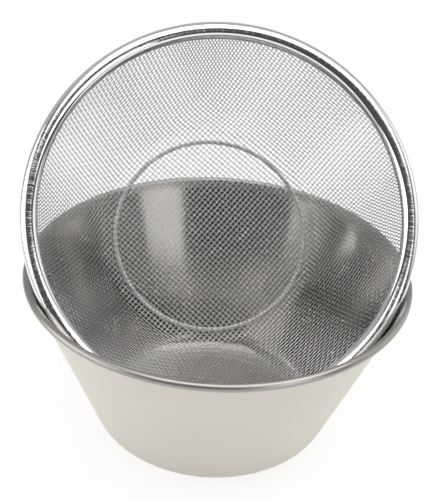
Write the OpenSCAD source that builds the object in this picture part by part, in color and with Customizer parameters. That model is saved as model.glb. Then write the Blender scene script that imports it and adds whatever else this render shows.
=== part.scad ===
// Kitchen strainer set: a wire-cloth basket stood on edge inside its coated steel bowl.
// The origin is the middle of the bowl's foot, on the table, with the basket's mouth towards -Y.

/* [Bowl] */
// Outside diameter of the bowl over its curled lip
bowl_lip_d = 210; // [190:1:240]
// Height of the bowl from the table to the top of its lip
bowl_h = 98; // [80:1:120]
// Diameter of the flat foot under the bowl
bowl_foot_d = 101; // [80:1:120]
// Outside radius of the corner between the foot and the wall
bowl_corner_r = 17.5; // [10:0.5:30]
// Thickness of the bowl's steel sheet
bowl_sheet = 0.7; // [0.5:0.1:1.2]
// Outside diameter of the curl along the lip
lip_curl_d = 4.2; // [3:0.1:6]
// How far the lip curls round from the line of the wall, in degrees
lip_curl_turn = 220; // [150:5:270]
// Thickness of the coat on the outside of the bowl
coat_t = 0.3; // [0.1:0.05:0.5]
// Width of bare steel left between the coat and the lip's curl
coat_below_curl = 0.4; // [0.2:0.1:2]
// Where the coat starts on the corner, in degrees round from the foot
coat_start = 14; // [12:1:30]

/* [Basket] */
// How much wider the basket's rolled rim is than the bowl's lip, which carries it when the two are nested
rim_over = 1; // [0:0.5:6]
// Depth of the basket from the middle of its rolled rim down to the cloth of its floor
basket_depth = 66; // [50:1:80]
// Diameter of the flat part of the basket's floor
basket_floor_d = 115; // [90:1:130]
// Radius of the bend between the basket's floor and its wall
basket_bend_r = 8; // [5:0.5:14]
// Radius of the gentle curve of the basket's wall, from that bend up to the rim
basket_wall_r = 274; // [180:1:600]

/* [Rim] */
// Outside diameter of the rolled rim
roll_d = 9.2; // [8:0.1:10.5]
// Thickness of the strip that the rim is rolled from
roll_sheet = 0.5; // [0.3:0.1:0.8]
// How far inside the middle of the roll the cloth runs in through its seam
cloth_off = 2.6; // [1.6:0.1:2.8]
// How far below the level of the middle of the roll the cloth ends, along the wall
cloth_short = 0.8; // [0.4:0.1:1.2]
// Width of the clamp band that the edge of the cloth is welded to, inside the roll
band_h = 1.8; // [1.2:0.1:2.2]
// Thickness of the clamp band
band_t = 0.5; // [0.4:0.1:0.8]
// Thickness of the hoop wire inside the roll
core_wire_d = 4.4; // [3:0.1:5]

/* [Foot ring] */
// Diameter of the foot ring, measured to the middle of its wire
ring_d = 109; // [80:1:114]
// Thickness of the foot ring's wire
ring_wire_d = 2.2; // [1.5:0.1:3]

/* [Wire cloth] */
// Thickness of the cloth's wires
wire_d = 0.5; // [0.4:0.05:0.6]
// Distance from wire to wire in the flat cloth
cloth_pitch = 2.4; // [2.2:0.05:2.8]
// One wire in this many is drawn
wire_stride = 2; // [2:1:6]
// Turn of the weave about the basket's axis, in degrees
weave_turn = 48.5; // [0:0.5:90]

/* [Pose] */
// Height of the basket's axis above level, in degrees
lean = 39.2; // [35:0.1:60]
// Turn of the mouth to the right of straight ahead, in degrees
mouth_turn = 6.8; // [-15:0.1:15]
// How far the middle of the rim stands in front of the bowl's axis
rim_forward = 3; // [0:0.5:10]

/* [Clearances] */
// Gap between the rolled rim and the bowl's wall where they rest together
rest_gap = 0.4; // [0.3:0.1:1]
// Gap between the bowl's steel and its coat
coat_gap = 0.05; // [0.03:0.01:0.1]
// Gap left at each pressed or welded seat
weld_gap = 0.15; // [0.1:0.05:0.2]
// Gap between the two layers of wire
layer_gap = 0.25; // [0.2:0.05:0.3]

/* [Hidden] */
$fn = 120;
ARC_STEPS = 12;
STEEL = [0.76, 0.75, 0.73];
BRIGHT_STEEL = [0.86, 0.86, 0.87];
CREAM = [0.83, 0.81, 0.76];

// Shared geometry: arcs, the slope of a wall from upright, and the point where two circles meet
function arc(middle, r, from, to, steps = ARC_STEPS) =
    [for (i = [0 : steps]) let (a = from + (to - from) * i / steps) middle + r * [cos(a), sin(a)]];
function slope_between(corner, rim, reach) =
    let (span = rim - corner) acos(reach / norm(span)) - atan2(span.y, span.x);
function slope_of(outwards) = atan2(-outwards.y, outwards.x);
function meeting(a, a_r, b, b_r) =
    let (span = b - a, d = norm(span), along = (d ^ 2 + a_r ^ 2 - b_r ^ 2) / (2 * d))
    a + (along * span + sqrt(a_r ^ 2 - along ^ 2) * [-span.y, span.x]) / d;

// Bowl
lip_r = lip_curl_d / 2;
lip_mid = [bowl_lip_d / 2 - lip_r, bowl_h - lip_r];
bowl_corner = [bowl_foot_d / 2, bowl_corner_r];
bowl_slope = slope_between(bowl_corner, lip_mid, bowl_corner_r + lip_r - bowl_sheet);
function bowl_r(z, out) =
    bowl_corner.x + (bowl_corner_r + out) / cos(bowl_slope) + (z - bowl_corner.y) * tan(bowl_slope);
coat_top = bowl_h - lip_curl_d - coat_below_curl;

// Basket, in its own frame: the origin is the middle of the floor's cloth and +Z looks out of the mouth
section_r = wire_d * sqrt(PI / sqrt(27));
cloth_half = section_r * 1.5 + layer_gap / 2;
seat = cloth_half + weld_gap;
roll_r = roll_d / 2;
roll_mid = [(bowl_lip_d + rim_over) / 2 - roll_r, basket_depth];
bend_mid = [basket_floor_d / 2, basket_bend_r];
wall_mid = meeting(bend_mid, basket_wall_r - basket_bend_r, roll_mid, basket_wall_r + cloth_off);
foot_slope = slope_of(bend_mid - wall_mid);
rim_slope = slope_of(roll_mid - wall_mid);
foot_up = [sin(foot_slope), cos(foot_slope)];
wall_out = [cos(rim_slope), -sin(rim_slope)];
wall_up = [sin(rim_slope), cos(rim_slope)];
cloth_end = roll_mid - cloth_off * wall_out - cloth_short * wall_up;
cloth_top = cloth_end.y;

// Where the basket rests: the lowest place at which no point of its roll comes too near the bowl's wall or lip
keep_off = roll_r + rest_gap;
wall_top = lip_mid + (lip_r + keep_off) * [-cos(bowl_slope), sin(bowl_slope)];
function clear_of_bowl(r) =
    r < wall_top.x ? wall_top.y - (wall_top.x - r) / tan(bowl_slope)
    : lip_mid.y + sqrt(max((lip_r + keep_off) ^ 2 - (r - lip_mid.x) ^ 2, 0));
function roll_at(turn) = roll_mid.x * [cos(turn), sin(turn) * sin(lean), sin(turn) * cos(lean)];
rim_height = max([for (turn = [0 : 359])
    let (p = roll_at(turn) - [0, rim_forward, 0]) clear_of_bowl(norm([p.x, p.y])) - p.z]);

module in_basket() {
    rotate([0, 0, mouth_turn])
        translate([0, -rim_forward, rim_height])
            rotate([90 - lean, 0, 0])
                translate([0, 0, -basket_depth])
                    children();
}

// Wire cloth: a net of wires that bend but do not stretch, laid over the basket's form.
// Every mesh is a rhombus of the flat cloth's pitch, so the weave shears as it climbs the wall.
function radius(p) = norm([p.x, p.y]);
function on_wall(p) = ([radius(p), p.z] - bend_mid) * foot_up > 0;
function inside_by(p) =
    radius(p) < bend_mid.x ? p.z
    : on_wall(p) ? basket_wall_r - norm([radius(p), p.z] - wall_mid)
    : basket_bend_r - norm([radius(p), p.z] - bend_mid);
function turned_in(p) =
    radius(p) < bend_mid.x ? [0, 1]
    : unit((on_wall(p) ? wall_mid : bend_mid) - [radius(p), p.z]);
function inward(p) =
    let (n = turned_in(p), r = max(radius(p), 1e-6)) [n.x * p.x / r, n.x * p.y / r, n.y];
function unit(v) = v / norm(v);

bend_turn = 90 - foot_slope;
bend_run = basket_bend_r * bend_turn * PI / 180;
function meridian(s) =
    s < bend_mid.x ? [s, 0]
    : s < bend_mid.x + bend_run ?
        let (a = bend_turn * (s - bend_mid.x) / bend_run) bend_mid + basket_bend_r * [sin(a), -cos(a)]
    : let (a = foot_slope - (s - bend_mid.x - bend_run) / basket_wall_r * 180 / PI)
        wall_mid + basket_wall_r * [cos(a), -sin(a)];

// The fourth corner of a mesh: the rhombus swings about its diagonal until it meets the form
SWINGS = 6;
function swing(mid, away, up, a, b, fa, fb, n) =
    n == 0 || abs(fb - fa) < 1e-9 ? mid + cos(b) * away + sin(b) * up
    : let (c = b - fb * (b - a) / (fb - fa))
        swing(mid, away, up, b, c, fb, inside_by(mid + cos(c) * away + sin(c) * up), n - 1);
function fourth_corner(a, b, c) =
    let (
        mid = (a + b) / 2,
        away = sqrt(max(cloth_pitch ^ 2 - (norm(b - a) / 2) ^ 2, 0)) * unit(mid - c),
        up = cross(unit(b - a), away),
        start = mid + away,
        next = mid + cos(2) * away + sin(2) * up
    )
    swing(mid, away, up, 0, 2, inside_by(start), inside_by(next), SWINGS);

function first_row(i = 0) =
    let (p = meridian(i * cloth_pitch)) p.y > cloth_top ? [[p.x, 0, p.y]]
    : concat([[p.x, 0, p.y]], first_row(i + 1));
function next_row(below, start) =
    [for (i = 0, p = start, go = true; go && i < len(below);
        q = i + 1 < len(below) ? fourth_corner(p, below[i + 1], below[i]) : undef,
        go = p.z <= cloth_top && !is_undef(q), p = q, i = i + 1) p];
function net_rows(below, j) =
    let (start = meridian(j * cloth_pitch)) start.y > cloth_top ? [below]
    : concat([below], net_rows(next_row(below, [0, start.x, start.y]), j + 1));

// A wire keeps only the crossings that its bends need, and ends level with the cloth's edge
CHORD_ERROR = 0.085;
function trimmed(row) =
    let (n = len(row), a = row[n - 2], b = row[n - 1])
    [for (i = [0 : n - 1]) i < n - 1 || b.z <= cloth_top ? row[i] : a + (b - a) * (cloth_top - a.z) / (b.z - a.z)];
function bend_between(p, a, b) =
    let (u = unit(p[a + 1] - p[a]), v = unit(p[b + 1] - p[b])) acos(min(u * v, 1)) * PI / 180;
function thinned(p) =
    [for (i = 0, last = 0, keep = true; i < len(p);
        i = i + 1,
        keep = i >= len(p) - 1 || norm(p[i + 1] - p[last]) * bend_between(p, last, i) / 8 > CHORD_ERROR,
        last = keep ? i : last) if (keep) p[i]];
function mirrored(row) = concat([for (i = [len(row) - 1 : -1 : 1]) [-row[i].x, row[i].y, row[i].z]], row);
function flipped(wire) = [for (p = wire) [p.x, -p.y, p.z]];
function cloth_lines() =
    let (rows = net_rows(first_row(), 1))
    [for (j = [0 : wire_stride : len(rows) - 1]) if (len(rows[j]) > 2)
        let (wire = thinned(mirrored(trimmed(rows[j]))))
        each j == 0 ? [wire] : [wire, flipped(wire)]];

// Each wire is a three-sided bar, on one side of the cloth's middle, with a flat towards the other layer
function ring_at(wire, k, layer) =
    let (
        along = unit(wire[min(k + 1, len(wire) - 1)] - wire[max(k - 1, 0)]),
        n = inward(wire[k]),
        across = unit(cross(along, n)),
        middle = wire[k] + layer * (section_r / 2 + layer_gap / 2) * n
    )
    [for (a = [0, 120, 240]) middle + section_r * (cos(a) * layer * n + sin(a) * layer * across)];
function bar_faces(base, rings) =
    let (last = base + 3 * (rings - 1))
    concat(
        [[base, base + 1, base + 2], [last, last + 2, last + 1]],
        [for (k = [0 : rings - 2], s = [0 : 2])
            let (a = base + 3 * k + s, b = base + 3 * k + (s + 1) % 3)
            each [[a, a + 3, b], [b, a + 3, b + 3]]]);
module cloth_layer(layer) {
    lines = cloth_lines();
    starts = [for (i = 0, n = 0; i < len(lines); n = n + 3 * len(lines[i]), i = i + 1) n];
    polyhedron(
        points = [for (wire = lines, k = [0 : len(wire) - 1]) each ring_at(wire, k, layer)],
        faces = [for (i = [0 : len(lines) - 1]) each bar_faces(starts[i], len(lines[i]))]);
}

// Pieces
module bowl_shell() {
    color(STEEL)
        rotate_extrude()
            polygon(concat(
                [[0, 0]],
                arc(bowl_corner, bowl_corner_r, -90, -bowl_slope),
                arc(lip_mid, lip_r - bowl_sheet, 180 - bowl_slope, 180 - bowl_slope - lip_curl_turn),
                arc(lip_mid, lip_r, 180 - bowl_slope - lip_curl_turn, 180 - bowl_slope),
                arc(bowl_corner, bowl_corner_r - bowl_sheet, -bowl_slope, -90),
                [[0, bowl_sheet]]));
}

module bowl_coat() {
    outside = coat_gap + coat_t;
    color(CREAM)
        rotate_extrude()
            polygon(concat(
                arc(bowl_corner, bowl_corner_r + outside, -90 + coat_start, -bowl_slope),
                [[bowl_r(coat_top, outside), coat_top], [bowl_r(coat_top, coat_gap), coat_top]],
                arc(bowl_corner, bowl_corner_r + coat_gap, -bowl_slope, -90 + coat_start)));
}

module rim_roll() {
    color(BRIGHT_STEEL)
        in_basket()
            rotate_extrude()
                translate(roll_mid)
                    difference() {
                        circle(roll_r);
                        circle(roll_r - roll_sheet);
                        rotate(-rim_slope)
                            translate([-cloth_off - seat, -roll_d])
                                square([2 * seat, roll_d]);
                    }
}

module rim_core_wire() {
    color(STEEL)
        in_basket()
            rotate_extrude()
                translate(roll_mid + (roll_r - roll_sheet - weld_gap - core_wire_d / 2) * wall_out)
                    circle(core_wire_d / 2);
}

module clamp_band() {
    color(STEEL)
        in_basket()
            rotate_extrude()
                translate(cloth_end)
                    rotate(-rim_slope)
                        translate([seat, -band_h])
                            square([band_t, band_h]);
}

module warp_wires() {
    color(STEEL)
        in_basket()
            rotate([0, 0, weave_turn])
                cloth_layer(-1);
}

module weft_wires() {
    color(STEEL)
        in_basket()
            rotate([0, 0, weave_turn + 90])
                cloth_layer(1);
}

module foot_ring() {
    color(BRIGHT_STEEL)
        in_basket()
            rotate_extrude()
                translate([ring_d / 2, -seat - ring_wire_d / 2])
                    circle(ring_wire_d / 2);
}

bowl_shell();
bowl_coat();
rim_roll();
rim_core_wire();
clamp_band();
warp_wires();
weft_wires();
foot_ring();
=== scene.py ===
import math

import bmesh
import bpy
from mathutils import Matrix, Vector


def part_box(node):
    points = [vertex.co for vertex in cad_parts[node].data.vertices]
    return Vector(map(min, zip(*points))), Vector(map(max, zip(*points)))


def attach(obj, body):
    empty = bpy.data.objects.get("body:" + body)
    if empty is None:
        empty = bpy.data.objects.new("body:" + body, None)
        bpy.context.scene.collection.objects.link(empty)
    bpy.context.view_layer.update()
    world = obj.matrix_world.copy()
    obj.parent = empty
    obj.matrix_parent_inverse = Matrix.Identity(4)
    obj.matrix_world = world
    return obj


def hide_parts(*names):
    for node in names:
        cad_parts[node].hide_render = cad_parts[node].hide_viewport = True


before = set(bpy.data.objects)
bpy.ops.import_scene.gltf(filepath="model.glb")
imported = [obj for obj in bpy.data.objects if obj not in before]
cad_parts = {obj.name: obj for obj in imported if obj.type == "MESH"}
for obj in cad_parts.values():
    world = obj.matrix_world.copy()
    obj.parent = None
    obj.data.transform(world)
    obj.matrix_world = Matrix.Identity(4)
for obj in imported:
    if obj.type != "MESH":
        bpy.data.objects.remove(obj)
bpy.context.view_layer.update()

# Bowl shell
# One disc of stainless sheet, spun over a former into a flat foot, a rounded corner and a straight wall that
# flares. The edge is curled outwards into a bead. The inside and the bead stay bare, with the fine rings of
# the spinning, and the bead is duller than the wall.
lip_d = 0.210
bowl_height = 0.098
foot_d = 0.101
corner_r = 0.0175
bowl_sheet = 0.0007
bead_r = 0.0021
bead_turn = 220
corner_middle = Vector((foot_d / 2, corner_r))
bead_middle = Vector((lip_d / 2 - bead_r, bowl_height - bead_r))
bowl_steps = 192
bead_steps = 24
crease_angle = math.radians(40)
merge_reach = 1e-6


def slope_between(corner, rim, reach):
    """Degrees from upright of a straight wall between two rounds whose radii add up to reach."""
    span = rim - corner
    return math.degrees(math.acos(reach / span.length) - math.atan2(span.y, span.x))


def polar(middle, r, degrees):
    """A point of a section, as radius and height, at that angle round a middle."""
    return middle + r * Vector((math.cos(math.radians(degrees)), math.sin(math.radians(degrees))))


def start_section(point):
    """A new section with its pen at a radius and height."""
    bm = bmesh.new()
    return bm, bm.verts.new((point[0], 0, point[1]))


def line_to(bm, pen, point):
    tip = bmesh.ops.extrude_vert_indiv(bm, verts=[pen])["verts"][0]
    tip.co = (point[0], 0, point[1])
    return tip


def arc_about(bm, pen, middle, degrees, steps=16):
    """Draws an arc round a middle, anticlockwise if degrees are positive."""
    drawn = bmesh.ops.spin(bm, geom=[pen], cent=(middle.x, 0, middle.y), axis=(0, -1, 0),
                           angle=math.radians(degrees), steps=steps)
    return [v for v in drawn["geom_last"] if isinstance(v, bmesh.types.BMVert)][0]


def revolve(bm, name, place, steps):
    """Spins a section about its own Z axis into a closed, smooth piece and puts it in its place."""
    bmesh.ops.spin(bm, geom=bm.verts[:] + bm.edges[:], cent=(0, 0, 0), axis=(0, 0, 1),
                   angle=math.tau, steps=steps, use_merge=True)
    bmesh.ops.remove_doubles(bm, verts=bm.verts, dist=merge_reach)
    bmesh.ops.transform(bm, matrix=place, verts=bm.verts)
    bmesh.ops.recalc_face_normals(bm, faces=bm.faces)
    mesh = bpy.data.meshes.new(name)
    bm.to_mesh(mesh)
    bm.free()
    mesh.shade_smooth()
    mesh.set_sharp_from_angle(angle=crease_angle)
    return show(name, mesh)


def show(name, mesh):
    piece = bpy.data.objects.new(name, mesh)
    bpy.context.scene.collection.objects.link(piece)
    return piece


def add_node(tree, kind, sockets=None, **settings):
    """A shader node with its settings. A socket gets a plain value or the output that feeds it."""
    made = tree.nodes.new(kind)
    for key, value in settings.items():
        setattr(made, key, value)
    for socket, value in (sockets or {}).items():
        if isinstance(value, bpy.types.NodeSocket):
            tree.links.new(value, made.inputs[socket])
        else:
            made.inputs[socket].default_value = value
    return made


def new_group(name, inputs, output):
    """A shader node group with one value going out, and its input and output nodes."""
    group = bpy.data.node_groups.new(name, "ShaderNodeTree")
    for label, kind in inputs.items():
        group.interface.new_socket(label, in_out="INPUT", socket_type=kind)
    group.interface.new_socket(output, in_out="OUTPUT", socket_type="NodeSocketFloat")
    return group, add_node(group, "NodeGroupInput"), add_node(group, "NodeGroupOutput")


# Rings left by spinning, polishing or drawing, which run round the Z axis and drift a little
ring_drift = 1.4
turned_rings, ring_in, ring_out = new_group(
    "turned_rings", {"Vector": "NodeSocketVector", "Ring Width": "NodeSocketFloat"}, "Rings")
split = add_node(turned_rings, "ShaderNodeSeparateXYZ", {0: ring_in.outputs["Vector"]})
flat = add_node(turned_rings, "ShaderNodeCombineXYZ",
                {"X": split.outputs["X"], "Y": split.outputs["Y"]})
reach = add_node(turned_rings, "ShaderNodeVectorMath", {0: flat.outputs[0]}, operation="LENGTH")
section = add_node(turned_rings, "ShaderNodeCombineXYZ",
                   {"X": reach.outputs["Value"], "Y": split.outputs["Z"]})
per_ring = add_node(turned_rings, "ShaderNodeMath",
                    {0: 1.0, 1: ring_in.outputs["Ring Width"]}, operation="DIVIDE")
counted = add_node(turned_rings, "ShaderNodeVectorMath",
                   {0: section.outputs[0], "Scale": per_ring.outputs[0]}, operation="SCALE")
heading = add_node(turned_rings, "ShaderNodeVectorMath", {0: flat.outputs[0]}, operation="NORMALIZE")
drifting = add_node(turned_rings, "ShaderNodeVectorMath",
                    {0: heading.outputs[0], 1: (ring_drift, ring_drift, ring_drift), 2: counted.outputs[0]},
                    operation="MULTIPLY_ADD")
ring_noise = add_node(turned_rings, "ShaderNodeTexNoise",
                      {"Vector": drifting.outputs[0], "Scale": 1.0, "Detail": 3.0, "Roughness": 0.65})
turned_rings.links.new(ring_noise.outputs[0], ring_out.inputs["Rings"])

# Clouds left by wiping and handling: soft patches of a given size
handling_clouds, cloud_in, cloud_out = new_group(
    "handling_clouds", {"Vector": "NodeSocketVector", "Patch Size": "NodeSocketFloat"}, "Clouds")
per_patch = add_node(handling_clouds, "ShaderNodeMath",
                     {0: 1.0, 1: cloud_in.outputs["Patch Size"]}, operation="DIVIDE")
cloud_noise = add_node(handling_clouds, "ShaderNodeTexNoise",
                       {"Vector": cloud_in.outputs["Vector"], "Scale": per_patch.outputs[0],
                        "Detail": 4.0, "Roughness": 0.55, "Distortion": 0.6})
handling_clouds.links.new(cloud_noise.outputs[0], cloud_out.inputs["Clouds"])


def new_finish(name, place=Matrix.Identity(4)):
    """A material with its shader, and Object coordinates turned to the axis of a piece."""
    material = bpy.data.materials.new(name)
    material.use_nodes = True
    tree = material.node_tree
    where = add_node(tree, "ShaderNodeTexCoord")
    own = add_node(tree, "ShaderNodeMapping",
                   {"Vector": where.outputs["Object"], "Location": place.to_translation(),
                    "Rotation": place.to_euler()}, vector_type="TEXTURE")
    return material, tree, tree.nodes["Principled BSDF"], own.outputs[0]


def rings_of(tree, vector, width):
    made = add_node(tree, "ShaderNodeGroup", node_tree=turned_rings)
    tree.links.new(vector, made.inputs["Vector"])
    made.inputs["Ring Width"].default_value = width
    return made.outputs["Rings"]


def clouds_of(tree, vector, size):
    made = add_node(tree, "ShaderNodeGroup", node_tree=handling_clouds)
    tree.links.new(vector, made.inputs["Vector"])
    made.inputs["Patch Size"].default_value = size
    return made.outputs["Clouds"]


def ranged(tree, value, low, high):
    """Spreads a texture's middle range over two values."""
    darkest, palest = 0.3, 0.7
    made = add_node(tree, "ShaderNodeMapRange",
                    {"Value": value, "From Min": darkest, "From Max": palest, "To Min": low, "To Max": high})
    return made.outputs["Result"]


def tinted(tree, value, dark, pale):
    made = add_node(tree, "ShaderNodeMix", {"Factor": value}, data_type="RGBA")
    made.inputs["A"].default_value = (*dark, 1)
    made.inputs["B"].default_value = (*pale, 1)
    return made.outputs["Result"]


def total(tree, first, second):
    return add_node(tree, "ShaderNodeMath", {0: first, 1: second}, operation="ADD").outputs[0]


def raised(tree, shader, height, depth, strength):
    bump = add_node(tree, "ShaderNodeBump", {"Height": height, "Distance": depth, "Strength": strength})
    tree.links.new(bump.outputs[0], shader.inputs["Normal"])


bowl_slope = slope_between(corner_middle, bead_middle, corner_r + bead_r - bowl_sheet)
corner_turn = 90 - bowl_slope
curl_start = 180 - bowl_slope
curl_end = curl_start - bead_turn
shell, pen = start_section((0, 0))
pen = line_to(shell, pen, (foot_d / 2, 0))
pen = arc_about(shell, pen, corner_middle, corner_turn)
pen = line_to(shell, pen, polar(bead_middle, bead_r - bowl_sheet, curl_start))
pen = arc_about(shell, pen, bead_middle, -bead_turn, bead_steps)
pen = line_to(shell, pen, polar(bead_middle, bead_r, curl_end))
pen = arc_about(shell, pen, bead_middle, bead_turn, bead_steps)
pen = line_to(shell, pen, polar(corner_middle, corner_r - bowl_sheet, -bowl_slope))
pen = arc_about(shell, pen, corner_middle, -corner_turn)
line_to(shell, pen, (0, bowl_sheet))
bowl_shell = revolve(shell, "spun_bowl", Matrix.Identity(4), bowl_steps)

spun_ring_width = 0.00045
spun_ring_depth = 0.00001
bowl_patch = 0.03
satin_dark = (0.35, 0.335, 0.315)
satin_pale = (0.45, 0.435, 0.415)
bead_dulling = 0.2
satin_steel, tree, shader, spot = new_finish("satin_spun_steel")
rings = rings_of(tree, spot, spun_ring_width)
clouds = clouds_of(tree, spot, bowl_patch)
tree.links.new(tinted(tree, rings, satin_dark, satin_pale), shader.inputs["Base Color"])
height = add_node(tree, "ShaderNodeSeparateXYZ", {0: spot}).outputs["Z"]
dull_edge = add_node(tree, "ShaderNodeMapRange",
                     {"Value": height, "From Min": bowl_height - 3 * bead_r,
                      "From Max": bowl_height - bead_r, "To Min": 0.0, "To Max": bead_dulling},
                     interpolation_type="SMOOTHSTEP")
satin = total(tree, ranged(tree, rings, 0.13, 0.19), ranged(tree, clouds, 0.0, 0.03))
tree.links.new(total(tree, satin, dull_edge.outputs["Result"]), shader.inputs["Roughness"])
raised(tree, shader, rings, spun_ring_depth, 0.25)
around = add_node(tree, "ShaderNodeTangent", direction_type="RADIAL", axis="Z")
tree.links.new(around.outputs[0], shader.inputs["Tangent"])
shader.inputs["Metallic"].default_value = 1.0
shader.inputs["Anisotropic"].default_value = 0.55
shader.inputs["Anisotropic Rotation"].default_value = 0.25
bowl_shell.data.materials.append(satin_steel)
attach(bowl_shell, "bowl")
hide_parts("bowl_shell")

# Bowl coat
# A cream coat sprayed on the outside of the bowl and baked, with a smooth satin surface and a faint orange
# peel. It starts on the corner just above the foot and ends in a masked edge a little below the bead.
coat_thick = 0.0003
coat_gap = 0.00005
coat_start = 14
coat_below_bead = 0.0004
coat_top = bowl_height - 2 * bead_r - coat_below_bead


def wall_at(height, outwards):
    """A point that far outside the bowl's wall, at a height."""
    foot_reach = corner_middle.x + (corner_r + outwards) / math.cos(math.radians(bowl_slope))
    return Vector((foot_reach + (height - corner_r) * math.tan(math.radians(bowl_slope)), height))


coat_turn = corner_turn - coat_start
coat, first = start_section(polar(corner_middle, corner_r + coat_gap + coat_thick, coat_start - 90))
pen = arc_about(coat, first, corner_middle, coat_turn)
pen = line_to(coat, pen, wall_at(coat_top, coat_gap + coat_thick))
pen = line_to(coat, pen, wall_at(coat_top, coat_gap))
pen = line_to(coat, pen, polar(corner_middle, corner_r + coat_gap, -bowl_slope))
pen = arc_about(coat, pen, corner_middle, -coat_turn)
coat.edges.new((pen, first))
bowl_coat = revolve(coat, "cream_coat", Matrix.Identity(4), bowl_steps)

coat_patch = 0.05
peel_size = 0.0016
peel_depth = 0.00002
cream_dark = (0.703, 0.668, 0.580)
cream_pale = (0.728, 0.694, 0.607)
cream_coat, tree, shader, spot = new_finish("cream_baked_coat")
clouds = clouds_of(tree, spot, coat_patch)
peel = clouds_of(tree, spot, peel_size)
tree.links.new(tinted(tree, ranged(tree, clouds, 0.0, 1.0), cream_dark, cream_pale),
               shader.inputs["Base Color"])
tree.links.new(total(tree, ranged(tree, clouds, 0.38, 0.43), ranged(tree, peel, 0.0, 0.04)),
               shader.inputs["Roughness"])
raised(tree, shader, peel, peel_depth, 0.2)
bowl_coat.data.materials.append(cream_coat)
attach(bowl_coat, "bowl")
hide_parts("bowl_coat")

# Wire cloth, warp and weft
# One disc of plain-woven stainless wire cloth, drawn over a form into a flat floor and a wall that flares in
# a gentle curve. The wires bend but don't stretch, so the square meshes turn into rhombs where the wall cuts
# across the weave.
wire_d = 0.0005
wire_crease_angle = math.radians(80)
fewest_crossings = 3
cloth_pitch = 0.0024
weave_turn = 48.5
rim_d = 0.211
basket_depth = 0.066
floor_d = 0.115
bend_r = 0.008
wall_r = 0.274
roll_r = 0.0046
cloth_off = 0.0026
cloth_short = 0.0008
lean = 39.2
mouth_turn = 6.8
rim_forward = 0.003
roll_middle = Vector((rim_d / 2 - roll_r, basket_depth))
bend_middle = Vector((floor_d / 2, bend_r))
rim_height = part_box("rim_roll")[1].z - roll_r - roll_middle.x * math.cos(math.radians(lean))
basket_place = (Matrix.Rotation(math.radians(mouth_turn), 4, "Z")
                @ Matrix.Translation((0, -rim_forward, rim_height))
                @ Matrix.Rotation(math.radians(90 - lean), 4, "X")
                @ Matrix.Translation((0, 0, -basket_depth)))


def meeting(a, a_r, b, b_r):
    """The middle of a curve that lies at one distance from a and at another from b."""
    span = b - a
    along = (span.length_squared + a_r ** 2 - b_r ** 2) / (2 * span.length)
    aside = math.sqrt(a_r ** 2 - along ** 2)
    return a + (along * span + aside * Vector((-span.y, span.x))) / span.length


def slope_of(outwards):
    return math.degrees(math.atan2(-outwards.y, outwards.x))


wall_middle = meeting(bend_middle, wall_r - bend_r, roll_middle, wall_r + cloth_off)
foot_slope = slope_of(bend_middle - wall_middle)
rim_slope = slope_of(roll_middle - wall_middle)
foot_up = polar(Vector((0, 0)), 1, 90 - foot_slope)
wall_out = polar(Vector((0, 0)), 1, -rim_slope)
wall_up = polar(Vector((0, 0)), 1, 90 - rim_slope)
cloth_top = (roll_middle - cloth_off * wall_out - cloth_short * wall_up).y
bend_run = bend_r * math.radians(90 - foot_slope)


def along_form(run):
    """The radius and height of the form at a distance from the middle of its floor, up a straight line."""
    if run < bend_middle.x:
        return Vector((run, 0))
    if run < bend_middle.x + bend_run:
        return polar(bend_middle, bend_r, math.degrees((run - bend_middle.x) / bend_r) - 90)
    up_wall = run - bend_middle.x - bend_run
    return polar(wall_middle, wall_r, math.degrees(up_wall / wall_r) - foot_slope)


def form_at(p):
    """How far a point lies inside the form, and the radius and height of the way in."""
    here = Vector((math.hypot(p.x, p.y), p.z))
    if here.x < bend_middle.x:
        return p.z, Vector((0, 1))
    on_wall = (here - bend_middle).dot(foot_up) > 0
    middle, r = (wall_middle, wall_r) if on_wall else (bend_middle, bend_r)
    return r - (middle - here).length, (middle - here).normalized()


def fourth_corner(a, b, c):
    """Closes a mesh of the cloth: the rhomb swings about its diagonal until it meets the form."""
    middle = (a + b) / 2
    half_width = (b - a).length / 2
    away = (middle - c).normalized() * math.sqrt(max(cloth_pitch ** 2 - half_width ** 2, 0))
    up = (b - a).normalized().cross(away)

    def swung(angle):
        return middle + math.cos(angle) * away + math.sin(angle) * up

    # Two first swings in radians, then up to eight secant steps until the gap stands still
    low, high = 0.0, 0.03
    most_steps = 8
    standstill = 1e-12
    gap_low, gap_high = form_at(swung(low))[0], form_at(swung(high))[0]
    for _ in range(most_steps):
        if abs(gap_high - gap_low) < standstill:
            break
        low, high = high, high - gap_high * (high - low) / (gap_high - gap_low)
        gap_low, gap_high = gap_high, form_at(swung(high))[0]
    return swung(high)


rows = [[Vector((0, 0, 0))]]
while rows[0][-1].z <= cloth_top:
    at = along_form(len(rows[0]) * cloth_pitch)
    rows[0].append(Vector((at.x, 0, at.y)))
while along_form(len(rows) * cloth_pitch).y <= cloth_top:
    at = along_form(len(rows) * cloth_pitch)
    row, below = [Vector((0, at.x, at.y))], rows[-1]
    while row[-1].z <= cloth_top and len(row) < len(below):
        row.append(fourth_corner(row[-1], below[len(row)], below[len(row) - 1]))
    rows.append(row)


def woven(row, number, side):
    """One wire from edge to edge, over one crossing wire and under the next."""
    crossings = []
    for k, p in enumerate(row):
        way_in = form_at(p)[1]
        heading = Vector((p.x, p.y, 0)).normalized()
        inward = heading * way_in.x + Vector((0, 0, way_in.y))
        crossings.append(p + side * (-1) ** (k + number) * wire_d / 2 * inward)
    if crossings[-1].z > cloth_top:
        last, end = crossings[-2:]
        crossings[-1] = last.lerp(end, (cloth_top - last.z) / (end.z - last.z))
    return [Vector((-p.x, p.y, p.z)) for p in crossings[:0:-1]] + crossings


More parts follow.
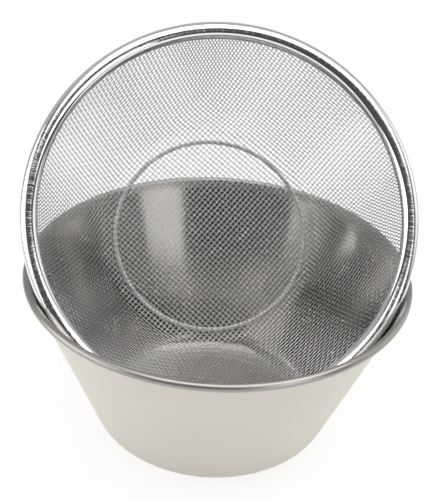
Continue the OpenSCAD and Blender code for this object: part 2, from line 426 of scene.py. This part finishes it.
def weave(name, side, crossways):
    """All the wires of one direction, each a round wire along its woven path."""
    paths = bpy.data.curves.new(name, "CURVE")
    paths.dimensions = "3D"
    paths.bevel_depth = wire_d / 2
    paths.bevel_resolution = 1
    paths.use_fill_caps = True
    turned = basket_place @ Matrix.Rotation(math.radians(weave_turn), 4, "Z")
    for number, row in enumerate(rows):
        if len(row) < fewest_crossings:
            continue
        wire = woven(row, number, side)
        for flip in (1, -1) if number else (1,):
            path = paths.splines.new("POLY")
            path.points.add(len(wire) - 1)
            for point, p in zip(path.points, wire):
                at = Vector((flip * p.y, p.x, p.z)) if crossways else Vector((p.x, flip * p.y, p.z))
                point.co = (*(turned @ at), 1)
    drawn = bpy.data.objects.new(name + "_paths", paths)
    bpy.context.scene.collection.objects.link(drawn)
    evaluated = bpy.context.evaluated_depsgraph_get()
    mesh = bpy.data.meshes.new_from_object(drawn.evaluated_get(evaluated))
    bpy.data.objects.remove(drawn)
    bpy.data.curves.remove(paths)
    mesh.name = name
    mesh.shade_smooth()
    mesh.set_sharp_from_angle(angle=wire_crease_angle)
    return show(name, mesh)


wire_patch = 0.012
speck_size = 0.0007
wire_dark = (0.59, 0.585, 0.58)
wire_pale = (0.71, 0.705, 0.70)
bright_wire, tree, shader, spot = new_finish("bright_drawn_wire", basket_place)
clouds = clouds_of(tree, spot, wire_patch)
specks = clouds_of(tree, spot, speck_size)
tree.links.new(tinted(tree, ranged(tree, specks, 0.0, 1.0), wire_dark, wire_pale),
               shader.inputs["Base Color"])
tree.links.new(total(tree, ranged(tree, clouds, 0.18, 0.24), ranged(tree, specks, 0.0, 0.06)),
               shader.inputs["Roughness"])
shader.inputs["Metallic"].default_value = 1.0
warp_cloth = weave("woven_warp", -1, False)
weft_cloth = weave("woven_weft", 1, True)
for cloth, node in ((warp_cloth, "warp_wires"), (weft_cloth, "weft_wires")):
    cloth.data.materials.clear()
    cloth.data.materials.append(bright_wire)
    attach(cloth, "basket")
    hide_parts(node)

# Foot ring
# A ring of thicker steel wire, butt-welded shut and spot-welded all round to the outside of the basket's
# floor. The basket stands on it when it is out of the bowl. Its seat is measured from the cloth's middle.
ring_d = 0.109
ring_wire_d = 0.0022
seat = 0.000858
ring_sides = 20
ring_steps = 160
ring = bmesh.new()
wire_middle = Matrix.Translation((ring_d / 2, 0, -seat - ring_wire_d / 2))
upright = wire_middle @ Matrix.Rotation(math.pi / 2, 4, "X")
bmesh.ops.create_circle(ring, segments=ring_sides, radius=ring_wire_d / 2, matrix=upright)
foot_ring = revolve(ring, "foot_ring_wire", basket_place, ring_steps)

drawn_line_width = 0.00012
drawn_line_depth = 0.000004
ring_patch = 0.008
ring_dark = (0.74, 0.73, 0.72)
ring_pale = (0.86, 0.85, 0.84)
ring_steel, tree, shader, spot = new_finish("drawn_ring_wire", basket_place)
lines = rings_of(tree, spot, drawn_line_width)
clouds = clouds_of(tree, spot, ring_patch)
tree.links.new(tinted(tree, lines, ring_dark, ring_pale), shader.inputs["Base Color"])
tree.links.new(total(tree, ranged(tree, lines, 0.36, 0.44), ranged(tree, clouds, 0.0, 0.06)),
               shader.inputs["Roughness"])
raised(tree, shader, lines, drawn_line_depth, 0.2)
shader.inputs["Metallic"].default_value = 1.0
foot_ring.data.materials.append(ring_steel)
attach(foot_ring, "basket")
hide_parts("foot_ring")

# Rim roll, with the hoop and the clamp band in it
# A polished steel strip rolled into a tube round a hoop of wire. The cloth runs in through the seam
# underneath, with its edge welded to a narrow band. The hoop and the band keep their plain solids, which the
# roll hides.
roll_sheet = 0.0005
outside_steps = 72
inside_steps = 32
roll_steps = 256


def seam_edge(r, aside):
    """Degrees round the roll's middle to the seam's edge, where a circle meets that side of the cloth."""
    return math.degrees(math.atan2(-math.sqrt(r ** 2 - aside ** 2), aside)) - rim_slope


far_side = -cloth_off - seat
near_side = -cloth_off + seat
outside_r = roll_r
inside_r = roll_r - roll_sheet
outside_turn = 360 + seam_edge(outside_r, far_side) - seam_edge(outside_r, near_side)
inside_turn = seam_edge(inside_r, near_side) - seam_edge(inside_r, far_side) - 360
roll, first = start_section(polar(roll_middle, outside_r, seam_edge(outside_r, near_side)))
pen = arc_about(roll, first, roll_middle, outside_turn, outside_steps)
pen = line_to(roll, pen, polar(roll_middle, inside_r, seam_edge(inside_r, far_side)))
pen = arc_about(roll, pen, roll_middle, inside_turn, inside_steps)
roll.edges.new((pen, first))
rim_roll = revolve(roll, "rolled_rim", basket_place, roll_steps)

polish_line_width = 0.00025
rim_patch = 0.015
polish_dark = (0.80, 0.80, 0.81)
polish_pale = (0.86, 0.86, 0.87)
polished_steel, tree, shader, spot = new_finish("polished_strip", basket_place)
lines = rings_of(tree, spot, polish_line_width)
clouds = clouds_of(tree, spot, rim_patch)
tree.links.new(tinted(tree, clouds, polish_dark, polish_pale), shader.inputs["Base Color"])
polish = total(tree, ranged(tree, lines, 0.05, 0.09), ranged(tree, clouds, 0.0, 0.03))
shader.inputs["Metallic"].default_value = 1.0

# Crimp marks of the rolling, short ripples across the crest of the roll, a little duller than the rest
crimp_width = 0.0007
crimp_depth = 0.00010
crest = math.radians(4)
crimped_within = math.radians(18)
smooth_beyond = math.radians(32)
crimp_dulling = 0.17
split = add_node(tree, "ShaderNodeSeparateXYZ", {0: spot})
flat = add_node(tree, "ShaderNodeCombineXYZ", {"X": split.outputs["X"], "Y": split.outputs["Y"]})
heading = add_node(tree, "ShaderNodeVectorMath", {0: flat.outputs[0]}, operation="NORMALIZE")
crimped = add_node(tree, "ShaderNodeTexNoise",
                   {"Vector": heading.outputs[0], "Scale": roll_middle.x / crimp_width,
                    "Detail": 2.0, "Roughness": 0.7})
reach = add_node(tree, "ShaderNodeVectorMath", {0: flat.outputs[0]}, operation="LENGTH")
aside = add_node(tree, "ShaderNodeMath",
                 {0: reach.outputs["Value"], 1: roll_middle.x}, operation="SUBTRACT")
above = add_node(tree, "ShaderNodeMath", {0: split.outputs["Z"], 1: roll_middle.y}, operation="SUBTRACT")
round_roll = add_node(tree, "ShaderNodeMath",
                      {0: aside.outputs[0], 1: above.outputs[0]}, operation="ARCTAN2")
off_crest = add_node(tree, "ShaderNodeMath", {0: round_roll.outputs[0], 1: crest}, operation="SUBTRACT")
from_crest = add_node(tree, "ShaderNodeMath", {0: off_crest.outputs[0]}, operation="ABSOLUTE")
on_crest = add_node(tree, "ShaderNodeMapRange",
                    {"Value": from_crest.outputs[0], "From Min": crimped_within, "From Max": smooth_beyond,
                     "To Min": 1.0, "To Max": 0.0}, interpolation_type="SMOOTHSTEP")
uneven = add_node(tree, "ShaderNodeMath", {0: crimped.outputs[0], 1: 0.5}, operation="SUBTRACT")
crimps = add_node(tree, "ShaderNodeMath",
                  {0: uneven.outputs[0], 1: on_crest.outputs["Result"]}, operation="MULTIPLY")
raised(tree, shader, crimps.outputs[0], crimp_depth, 1.0)
scuffs = add_node(tree, "ShaderNodeMapRange",
                  {"Value": crimped.outputs[0], "From Min": 0.48, "From Max": 0.62,
                   "To Min": 0.0, "To Max": crimp_dulling})
scuffed = add_node(tree, "ShaderNodeMath",
                   {0: scuffs.outputs["Result"], 1: on_crest.outputs["Result"]}, operation="MULTIPLY")
tree.links.new(total(tree, polish, scuffed.outputs[0]), shader.inputs["Roughness"])
rim_roll.data.materials.append(polished_steel)
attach(rim_roll, "basket")
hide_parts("rim_roll")
for node in ("rim_core_wire", "clamp_band"):
    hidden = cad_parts[node].data.materials
    hidden.clear()
    hidden.append(ring_steel)

# Table and studio
# A plain white table, lit a little from beneath, that runs out of view under a white room. The room is darker
# on the viewer's side, so the polished steel has something to show, and the table keeps the soft shadow of
# the bowl.
floor_mesh = bpy.data.meshes.new("table_top")
floor_shape = bmesh.new()
table_middle = Vector((0, -0.45, -0.0002))
table_width = 1.2
table_length = 1.7
table_place = Matrix.Translation(table_middle) @ Matrix.Diagonal((table_width, table_length, 1, 1))
bmesh.ops.create_grid(floor_shape, x_segments=1, y_segments=1, size=0.5, matrix=table_place)
floor_shape.to_mesh(floor_mesh)
floor_shape.free()
table = show("table_top", floor_mesh)
table_white = (0.80, 0.80, 0.80, 1)
light_beneath = 0.15
shadow_grey = (0.20, 0.20, 0.20, 1)
table_glow = 0.84
white_table = bpy.data.materials.new("white_table")
white_table.use_nodes = True
tree = white_table.node_tree
tree.nodes.remove(tree.nodes["Principled BSDF"])
ray = add_node(tree, "ShaderNodeLightPath")
seen = add_node(tree, "ShaderNodeMath", {0: ray.outputs["Is Camera Ray"], 1: ray.outputs["Is Glossy Ray"]},
                operation="ADD", use_clamp=True)
sheet = add_node(tree, "ShaderNodeBsdfDiffuse", {"Color": table_white})
beneath = add_node(tree, "ShaderNodeEmission", {"Color": (1, 1, 1, 1), "Strength": light_beneath})
plain = add_node(tree, "ShaderNodeAddShader", {0: sheet.outputs[0], 1: beneath.outputs[0]})
shaded = add_node(tree, "ShaderNodeBsdfDiffuse", {"Color": shadow_grey})
glow = add_node(tree, "ShaderNodeEmission", {"Color": (1, 1, 1, 1), "Strength": table_glow})
lit = add_node(tree, "ShaderNodeAddShader", {0: shaded.outputs[0], 1: glow.outputs[0]})
white = add_node(tree, "ShaderNodeMixShader", {0: seen.outputs[0], 1: plain.outputs[0], 2: lit.outputs[0]})
tree.links.new(white.outputs[0], tree.nodes["Material Output"].inputs["Surface"])
floor_mesh.materials.append(white_table)

light_at_viewer = 0.075
light_at_back = 0.50
fade = 0.35
room = bpy.data.worlds.new("white_room")
bpy.context.scene.world = room
room.use_nodes = True
tree = room.node_tree
back_wall = tree.nodes["Background"]
back_wall.inputs["Color"].default_value = (1, 1, 1, 1)
ray = add_node(tree, "ShaderNodeLightPath")
facing = add_node(tree, "ShaderNodeTexCoord")
split = add_node(tree, "ShaderNodeSeparateXYZ", {0: facing.outputs["Generated"]})
depth = add_node(tree, "ShaderNodeMapRange",
                 {"Value": split.outputs["Y"], "From Min": -fade, "From Max": fade,
                  "To Min": light_at_viewer, "To Max": light_at_back}, interpolation_type="SMOOTHSTEP")
level = add_node(tree, "ShaderNodeMath", {0: depth.outputs["Result"], 1: ray.outputs["Is Camera Ray"]},
                 operation="MAXIMUM")
tree.links.new(level.outputs[0], back_wall.inputs["Strength"])

# Lamps
# Large soft boxes: one overhead, one at the viewer's right, one at the right side and one at the left.
# Each faces the middle of the set, but for the overhead box, which hangs to the right and shines nearly
# straight down.
set_middle = (0, 0, 0.1)
below_overhead = (0.28, 0, 0.1)
for name, place, aim, width, height, brightness in (
        ("overhead_box", (0.28, -0.10, 1.27), below_overhead, 1.70, 1.00, 2.5),
        ("right_box", (0.81, -0.94, 0.49), set_middle, 0.60, 0.80, 2.2),
        ("side_box", (1.10, 0.29, 0.42), set_middle, 1.10, 0.60, 0.8),
        ("left_box", (-1.08, -0.31, 0.47), set_middle, 1.10, 0.90, 2.1)):
    lamp = bpy.data.lights.new(name, "AREA")
    lamp.shape = "RECTANGLE"
    lamp.size = width
    lamp.size_y = height
    lamp.energy = math.pi * width * height * brightness
    box = bpy.data.objects.new(name, lamp)
    box.location = place
    box.rotation_euler = (Vector(aim) - Vector(place)).to_track_quat("-Z", "Y").to_euler()
    bpy.context.scene.collection.objects.link(box)

# Camera
# It looks down into the mouth of the basket from the front, with the slight tilt of the photograph. Its
# distance, angles and lens are those of a perspective fit of the bowl and the basket.
picture_height = 500
view_distance = 0.700
view_down = math.radians(31.495)
view_tilt = math.radians(3.256)
focal_pixels = 1304.16
view_point = Vector((0, 0, 0.10968))
camera = bpy.data.cameras.new("photo_camera")
camera.sensor_width = 36.0
camera.lens = camera.sensor_width * focal_pixels / picture_height
viewer = bpy.data.objects.new("photo_camera", camera)
level_up = Vector((0, math.sin(view_down), math.cos(view_down)))
backwards = Vector((0, -math.cos(view_down), math.sin(view_down)))
across = math.cos(view_tilt) * Vector((1, 0, 0)) + math.sin(view_tilt) * level_up
upwards = backwards.cross(across)
turn = Matrix((across, upwards, backwards)).transposed().to_4x4()
viewer.matrix_world = Matrix.Translation(view_point + view_distance * backwards) @ turn
bpy.context.scene.collection.objects.link(viewer)
bpy.context.scene.camera = viewer

bpy.context.scene.view_settings.view_transform = "Standard"
